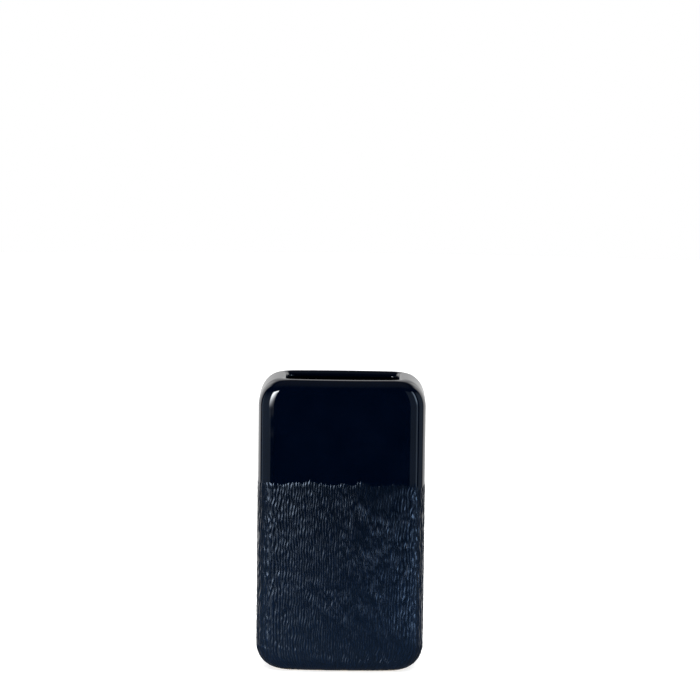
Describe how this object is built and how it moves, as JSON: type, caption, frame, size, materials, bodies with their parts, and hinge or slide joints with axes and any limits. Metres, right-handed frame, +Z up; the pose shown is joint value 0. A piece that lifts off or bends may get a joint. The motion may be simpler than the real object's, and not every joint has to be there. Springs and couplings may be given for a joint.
{
  "type": "ceramic bud vase",
  "caption": "Flat rounded-rectangle ceramic vase with a slot mouth in the top that holds a few dried or cut stems; glossy glaze above a wrinkled, textured lower part.",
  "frame": {"origin": "centre of the flat base, which stands on z = 0", "axes": "+Z up along the height, +X to the right seen from the front along the width, +Y to the back along the depth"},
  "size_m": [0.111, 0.06, 0.195],
  "materials": {
    "gloss_glaze": "near-black navy glaze, fired glossy, on the upper part, the lip and the inside",
    "textured_glaze": "the same navy in a satin glaze over upright, branching wrinkles, on the lower part",
    "bare_clay": "matt unglazed stoneware where the base was wiped clean"
  },
  "bodies": {
    "root": {"vase_body": "gloss_glaze"}
  },
  "joints": []
}
